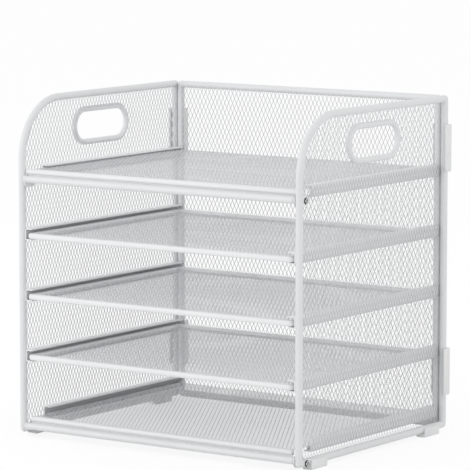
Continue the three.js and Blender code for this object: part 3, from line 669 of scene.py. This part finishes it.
def rolled_lip(name, z, half):
    """The rolled front edge of a shelf's pan, and the web that welds it to its cross tube."""
    low = z + TUBE + LIP_GROOVE
    roll = plate(LIP_FRONT, low, LIP_FRONT + LIP_SIZE, low + LIP_SIZE, LIP_ROUNDS, 2 * half)
    web_front = LIP_FRONT + WEB_BACK
    tube_surface = z + math.sqrt(TUBE ** 2 - (web_front + POST_Y) ** 2)
    web = plate(web_front, tube_surface - WEB_WELD, web_front + WEB_SHEET, low + WEB_SHEET,
                (0,) * 4, 2 * half, edge=0)
    lip = joined([roll, web])
    moved(lip, Matrix.Translation((-half, 0, 0)) @ SIDE_PLANE)
    finished(lip, f"{name}_rolled_lip", sheet_finish, f"{name}_lip")


def shelf_pan(name, level, half, floor_top):
    """A shelf's mesh floor with its turned-down sides, which stand in the channels."""
    pan = expanded_sheet(-half, PAN_FRONT - PAN_TUCK, half, PAN_REAR, FLOOR_MESH)
    moved(pan, Matrix.Translation((0, 0, floor_top - SHELF_SHEET / 2)))
    finished(pan, f"{name}_floor", mesh_finish, f"{name}_mesh")
    foot = GUIDE_Z[level] - GUIDE_HEIGHT / 2 + GUIDE_SHEET + REST_GAP
    for side, flip in SIDES:
        skirt = plate(SHELF_GUIDE_FRONT, foot, PAN_REAR, floor_top, (SKIRT_ROUND,) * 4,
                      SHELF_SHEET, SKIRT_EDGE)
        finished(on_side(skirt, flip, half - SHELF_SHEET), f"{side}_{name}_skirt", sheet_finish)


def fixed_shelf(level, tube_z, plate_size, screw, lip_half, pan_half):
    """A whole shelf but for its channels and screws."""
    name = f"{level}_shelf"
    cross_tube(name, tube_z, plate_size, screw)
    rolled_lip(name, tube_z, lip_half)
    shelf_pan(name, level, pan_half, tube_z + TUBE + LIP_GROOVE + LIP_SIZE - SHELF_SHEET)


fixed_shelf("top", TOP_TUBE_Z, TOP_PLATE, UPPER_SCREW, SHELF_X, TOP_PAN_HALF)
fixed_shelf("bottom", BOTTOM_TUBE_Z, BOTTOM_PLATE, LOWER_SCREW, BOTTOM_PAN_HALF, BOTTOM_PAN_HALF)


# Screws
def cross_screw(head_x, screw):
    """A pan-head screw along X with a cross recess, its head's underside at head_x."""
    bm = bmesh.new()
    half_section = SHANK + tuple((head_x + rise, radius) for rise, radius in HEAD)
    verts = [bm.verts.new((x, 0, radius)) for x, radius in half_section]
    edges = [bm.edges.new(pair) for pair in zip(verts, verts[1:])]
    bmesh.ops.spin(bm, geom=verts + edges, cent=(0, 0, 0), axis=(1, 0, 0), angle=2 * math.pi,
                   steps=28, use_merge=True, use_duplicate=False)
    bmesh.ops.remove_doubles(bm, verts=bm.verts, dist=SAME_PLACE)
    bmesh.ops.recalc_face_normals(bm, faces=bm.faces)
    recess = []
    for turn in (math.pi / 4, -math.pi / 4):
        bit = bmesh.new()
        bmesh.ops.create_cube(bit, size=1.0)
        # The recess narrows towards its floor, as the driver's tip does
        for vert in bit.verts:
            if vert.co.x < 0:
                vert.co.y *= RECESS_TAPER[0]
                vert.co.z *= RECESS_TAPER[1]
        recess.append(moved(bit, Matrix.Translation((head_x + HEAD_RISE, 0, 0))
                            @ Matrix.Rotation(turn, 4, "X") @ Matrix.Diagonal((*RECESS, 1))))
    result = carved(bm, recess)
    # Faces in the recess near its middle turn bright steel: wear, and painted highlight
    bare_and_highlight = result.faces.layers.float.new("bare_and_highlight")
    for face in result.faces:
        middle = face.calc_center_median()
        in_recess = head_x + BARE_HIGHLIGHT_MARGIN < middle.x < head_x + HEAD_RISE - BARE_HIGHLIGHT_MARGIN
        near_middle = math.hypot(middle.y, middle.z) < BARE_HIGHLIGHT_RADIUS
        face[bare_and_highlight] = 1.0 if in_recess and near_middle else 0.0
    return moved(result, Matrix.Translation((0, *screw)))


for level, head_x, screw in (("upper", TAB_X + HEAD_GAP, UPPER_SCREW),
                             ("lower", WIDTH / 2 + HEAD_GAP, LOWER_SCREW)):
    for side, flip in SIDES:
        finished(moved(cross_screw(head_x, screw), flip), f"{side}_{level}_cross_screw",
                 screw_finish, f"{side}_screw_{level}")


# Feet and rear clips
def clip_on_foot(side, flip, end, middle_y):
    """A plastic foot that snaps up round the bottom tube."""
    bore = TUBE + GRIP_GAP
    angles = [math.pi * k / FOOT_ARC for k in range(FOOT_ARC + 1)]
    arc = [(bore * math.cos(angle), BOTTOM_Z - bore * math.sin(angle)) for angle in angles]
    section = ([(-FOOT_HALF, 0), (FOOT_HALF, 0), (FOOT_HALF, FOOT_TOP), (bore, FOOT_TOP)] + arc
               + [(-bore, FOOT_TOP), (-FOOT_HALF, FOOT_TOP)])
    rounds = [FOOT_BASE_ROUND, FOOT_BASE_ROUND, FOOT_TOP_ROUND, FOOT_BORE_ROUND]
    rounds += [0] * len(arc) + [FOOT_BORE_ROUND, FOOT_TOP_ROUND]
    foot = profile_bar(section, rounds, FOOT_LENGTH, FOOT_EDGE)
    place = Matrix.Translation((SIDE_X, middle_y + FOOT_LENGTH / 2, 0))
    moved(foot, flip @ place @ BACK_PLANE)
    finished(foot, f"{side}_{end}_clip_foot", clip_finish, f"{side}_foot_{end}")


def rear_clip(side, flip, level, middle_z):
    """A plastic clip round the two posts at a rear corner, hooked over each."""
    back, outer = DEPTH / 2 + GRIP_GAP, WIDTH / 2 + GRIP_GAP
    inner = BACK_X - TUBE - GRIP_GAP
    section = ((outer, back - CLIP_OUTER_REACH), (outer + CLIP_WALL, back - CLIP_OUTER_REACH),
               (outer + CLIP_WALL, back + CLIP_BACK_WALL),
               (inner - CLIP_WALL, back + CLIP_BACK_WALL),
               (inner - CLIP_WALL, back - CLIP_INNER_REACH), (inner, back - CLIP_INNER_REACH),
               (inner, back), (outer, back))
    clip = profile_bar(section, CLIP_ROUNDS, CLIP_LENGTH, CLIP_EDGE)
    moved(clip, flip @ Matrix.Translation((0, 0, middle_z - CLIP_LENGTH / 2)))
    finished(clip, f"{side}_{level}_rear_catch", clip_finish, f"{side}_rear_clip_{level}")


for side, flip in SIDES:
    clip_on_foot(side, flip, "front", -FOOT_Y)
    clip_on_foot(side, flip, "rear", FOOT_Y)
for side, flip in SIDES:
    for level, middle_z in CLIP_Z.items():
        rear_clip(side, flip, level, middle_z)


# Floor, room and lamps, in metres and watts. The camera sees the floor and the room as white,
# while the room lights the organizer a little less
FLOOR_REACH = 14.0
FLOOR_GLOW = 0.85              # with the dimmed paper's own light it adds up to white
ROOM_LIGHT, ROOM_SEEN = 0.76, 1.0
WHITE = (1, 1, 1, 1)


def rays_that_see(tree):
    """1 for the rays that show the background: to the camera, in gloss and through glass."""
    rays = add_node(tree, "ShaderNodeLightPath").outputs
    direct = add_node(tree, "ShaderNodeMath", {
        0: rays["Is Camera Ray"], 1: rays["Is Glossy Ray"]}, operation="ADD")
    return add_node(tree, "ShaderNodeMath", {
        0: direct.outputs[0], 1: rays["Is Transmission Ray"]},
        operation="ADD", use_clamp=True).outputs[0]


def studio_floor():
    """A wide sheet of white paper, which keeps the organizer's soft shadow."""
    material, tree = new_material("white_studio_floor")
    paper = add_node(tree, "ShaderNodeBsdfDiffuse", {"Color": linear("#F2F2F2")})
    dimmed = add_node(tree, "ShaderNodeBsdfDiffuse", {"Color": linear("#757575")})
    glow = add_node(tree, "ShaderNodeEmission", {"Color": WHITE, "Strength": FLOOR_GLOW})
    seen = add_node(tree, "ShaderNodeAddShader", {0: dimmed.outputs[0], 1: glow.outputs[0]})
    shader = add_node(tree, "ShaderNodeMixShader", {
        0: rays_that_see(tree), 1: paper.outputs[0], 2: seen.outputs[0]})
    add_node(tree, "ShaderNodeOutputMaterial", {"Surface": shader.outputs[0]})

    sheet = bmesh.new()
    bmesh.ops.create_grid(sheet, x_segments=1, y_segments=1, size=FLOOR_REACH)
    mesh = bpy.data.meshes.new("studio_floor")
    sheet.to_mesh(mesh)
    sheet.free()
    mesh.materials.append(material)
    ground = bpy.data.objects.new("studio_floor", mesh)
    scene.collection.objects.link(ground)


def white_room():
    """The even light of a white room."""
    scene.world = bpy.data.worlds.new("soft_white_room")
    scene.world.use_nodes = True
    tree = scene.world.node_tree
    tree.nodes.clear()
    strength = add_node(tree, "ShaderNodeMapRange", {
        "Value": rays_that_see(tree), "To Min": ROOM_LIGHT, "To Max": ROOM_SEEN})
    sky = add_node(tree, "ShaderNodeBackground", {
        "Color": WHITE, "Strength": strength.outputs["Result"]})
    add_node(tree, "ShaderNodeOutputWorld", {"Surface": sky.outputs[0]})


def softbox(name, location, target, size, watts):
    """A square lamp aimed at target."""
    data = bpy.data.lights.new(name, "AREA")
    data.shape = "SQUARE"
    data.size = size
    data.energy = watts
    lamp = bpy.data.objects.new(name, data)
    lamp.location = location
    aim = Vector(target) - Vector(location)
    lamp.rotation_euler = aim.to_track_quat("-Z", "Y").to_euler()
    scene.collection.objects.link(lamp)


studio_floor()
white_room()
softbox("front_left_softbox", (-1.7, -2.5, 0.95), (0, 0, 0.15), size=1.6, watts=21)
softbox("right_fill_softbox", (3.0, -0.4, 1.1), (0, 0, 0.15), size=1.6, watts=8)
softbox("overhead_softbox", (0.3, 0.2, 2.6), (0, 0, 0.1), size=1.8, watts=1.5)

# Camera, in metres, solved from the photograph's edges: what it looks at, from where, and its
# lens for a 36 mm sensor
AZIMUTH, ELEVATION, DISTANCE = math.radians(34.943), math.radians(7.134), 3.305894
TARGET = Vector((-0.01297, 0.01926, 0.19288))
SENSOR, LENS, FARTHEST = 36.0, 258.30, 100.0

toward_camera = Vector((math.sin(AZIMUTH) * math.cos(ELEVATION),
                        -math.cos(AZIMUTH) * math.cos(ELEVATION), math.sin(ELEVATION)))
camera_data = bpy.data.cameras.new("camera")
camera_data.sensor_width = SENSOR
camera_data.lens = LENS
camera_data.clip_end = FARTHEST
camera = bpy.data.objects.new("camera", camera_data)
camera.location = TARGET + toward_camera * DISTANCE
camera.rotation_euler = (-toward_camera).to_track_quat("-Z", "Y").to_euler()
scene.collection.objects.link(camera)
scene.camera = camera
scene.view_settings.view_transform = "Standard"
